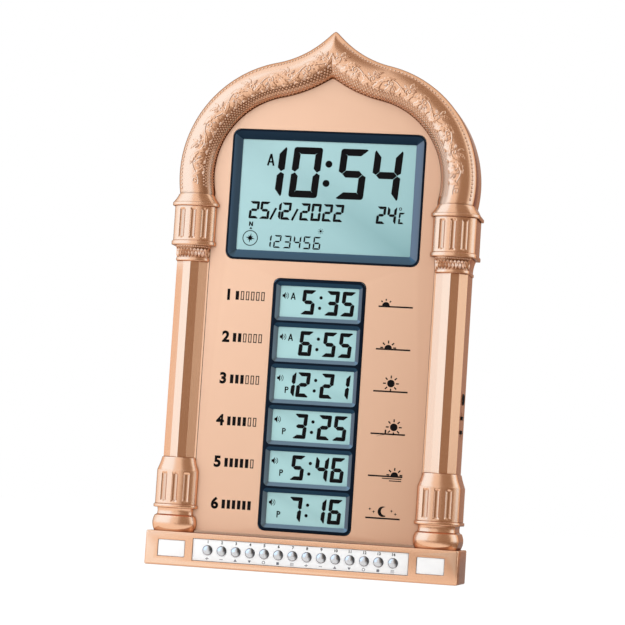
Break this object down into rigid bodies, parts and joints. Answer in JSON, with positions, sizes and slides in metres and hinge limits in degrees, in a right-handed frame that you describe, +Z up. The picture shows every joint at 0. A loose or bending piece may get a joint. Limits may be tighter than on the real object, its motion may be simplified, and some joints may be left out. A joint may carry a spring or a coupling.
{
  "type": "azan clock",
  "caption": "Free-standing azan clock in an ogee-arched rose gold case with columns, a large and several small LCD windows, and a row of push buttons in its plinth.",
  "frame": {"origin": "middle of the base, at the height of the surface that the clock stands on", "axes": "+Z up, +X to the right of someone who looks at the display, +Y from the display to the back"},
  "size_m": [0.1908, 0.0406, 0.3306],
  "materials": {
    "rose_shell": "moulded plastic under satin rose gold metallic paint",
    "peach_panel": "satin peach rose paint",
    "slate_bezel": "dark slate blue, half gloss",
    "lcd_glass": "pale blue-green liquid crystal glass with a matt polariser",
    "diffuser": "milky light guide",
    "white_sheet": "white printed plastic",
    "chrome_cap": "bright plated cap",
    "circuit_board": "green lacquered glass fibre board",
    "rose_cover": "finely grained rose gold plastic",
    "black_plastic": "black moulded plastic",
    "steel": "zinc or nickel plated steel",
    "ferrite": "bare ferrite magnet",
    "paper_cone": "black pressed paper",
    "cell_wrap": "plain blue printed wrap with a bare positive end"
  },
  "bodies": {
    "case": {"front_shell": "rose_shell", "face_panel": "peach_panel", "main_bezel": "slate_bezel", "times_bezel": "slate_bezel", "main_lcd": "lcd_glass", "time_lcd_1": "lcd_glass", "time_lcd_2": "lcd_glass", "time_lcd_3": "lcd_glass", "time_lcd_4": "lcd_glass", "time_lcd_5": "lcd_glass", "time_lcd_6": "lcd_glass", "main_backlight": "diffuser", "times_backlight": "diffuser", "main_board": "circuit_board", "board_screw_1": "steel", "board_screw_2": "steel", "board_screw_3": "steel", "board_screw_4": "steel", "button_strip": "white_sheet", "button_board": "circuit_board", "left_plaque": "white_sheet", "right_plaque": "white_sheet", "rear_cover": "rose_cover", "cover_screw_1": "steel", "cover_screw_2": "steel", "cover_screw_3": "steel", "cover_screw_4": "steel", "cover_screw_5": "steel", "cover_screw_6": "steel", "battery_1": "cell_wrap", "battery_2": "cell_wrap", "battery_3": "cell_wrap", "contact_negative": "steel", "contact_bridge_top": "steel", "contact_bridge_bottom": "steel", "contact_positive": "steel", "speaker_basket": "steel", "speaker_cone": "paper_cone", "speaker_magnet": "ferrite", "side_board": "circuit_board", "dc_jack": "black_plastic", "switch_body_upper": "steel", "switch_body_lower": "steel"},
    "door": {"battery_door": "rose_cover"},
    "knob_upper": {"switch_knob_upper": "black_plastic"},
    "knob_lower": {"switch_knob_lower": "black_plastic"},
    "cap_1": {"button_1": "chrome_cap"},
    "cap_2": {"button_2": "chrome_cap"},
    "cap_3": {"button_3": "chrome_cap"},
    "cap_4": {"button_4": "chrome_cap"},
    "cap_5": {"button_5": "chrome_cap"},
    "cap_6": {"button_6": "chrome_cap"},
    "cap_7": {"button_7": "chrome_cap"},
    "cap_8": {"button_8": "chrome_cap"},
    "cap_9": {"button_9": "chrome_cap"},
    "cap_10": {"button_10": "chrome_cap"},
    "cap_11": {"button_11": "chrome_cap"},
    "cap_12": {"button_12": "chrome_cap"},
    "cap_13": {"button_13": "chrome_cap"},
    "cap_14": {"button_14": "chrome_cap"}
  },
  "joints": [
    {"name": "battery_door_lift", "type": "slide", "parent": "case", "child": "door", "axis": [0, 1, 0], "range_m": [0, 0.02]},
    {"name": "switch_upper_slide", "type": "slide", "parent": "case", "child": "knob_upper", "axis": [0, 0, 1], "range_m": [0, 0.002]},
    {"name": "switch_lower_slide", "type": "slide", "parent": "case", "child": "knob_lower", "axis": [0, 0, -1], "range_m": [0, 0.002]},
    {"name": "button_1_press", "type": "slide", "parent": "case", "child": "cap_1", "axis": [0, 1, 0], "range_m": [0, 0.0005], "stiffness_N_per_m": 600},
    {"name": "button_2_press", "type": "slide", "parent": "case", "child": "cap_2", "axis": [0, 1, 0], "range_m": [0, 0.0005], "stiffness_N_per_m": 600},
    {"name": "button_3_press", "type": "slide", "parent": "case", "child": "cap_3", "axis": [0, 1, 0], "range_m": [0, 0.0005], "stiffness_N_per_m": 600},
    {"name": "button_4_press", "type": "slide", "parent": "case", "child": "cap_4", "axis": [0, 1, 0], "range_m": [0, 0.0005], "stiffness_N_per_m": 600},
    {"name": "button_5_press", "type": "slide", "parent": "case", "child": "cap_5", "axis": [0, 1, 0], "range_m": [0, 0.0005], "stiffness_N_per_m": 600},
    {"name": "button_6_press", "type": "slide", "parent": "case", "child": "cap_6", "axis": [0, 1, 0], "range_m": [0, 0.0005], "stiffness_N_per_m": 600},
    {"name": "button_7_press", "type": "slide", "parent": "case", "child": "cap_7", "axis": [0, 1, 0], "range_m": [0, 0.0005], "stiffness_N_per_m": 600},
    {"name": "button_8_press", "type": "slide", "parent": "case", "child": "cap_8", "axis": [0, 1, 0], "range_m": [0, 0.0005], "stiffness_N_per_m": 600},
    {"name": "button_9_press", "type": "slide", "parent": "case", "child": "cap_9", "axis": [0, 1, 0], "range_m": [0, 0.0005], "stiffness_N_per_m": 600},
    {"name": "button_10_press", "type": "slide", "parent": "case", "child": "cap_10", "axis": [0, 1, 0], "range_m": [0, 0.0005], "stiffness_N_per_m": 600},
    {"name": "button_11_press", "type": "slide", "parent": "case", "child": "cap_11", "axis": [0, 1, 0], "range_m": [0, 0.0005], "stiffness_N_per_m": 600},
    {"name": "button_12_press", "type": "slide", "parent": "case", "child": "cap_12", "axis": [0, 1, 0], "range_m": [0, 0.0005], "stiffness_N_per_m": 600},
    {"name": "button_13_press", "type": "slide", "parent": "case", "child": "cap_13", "axis": [0, 1, 0], "range_m": [0, 0.0005], "stiffness_N_per_m": 600},
    {"name": "button_14_press", "type": "slide", "parent": "case", "child": "cap_14", "axis": [0, 1, 0], "range_m": [0, 0.0005], "stiffness_N_per_m": 600}
  ]
}
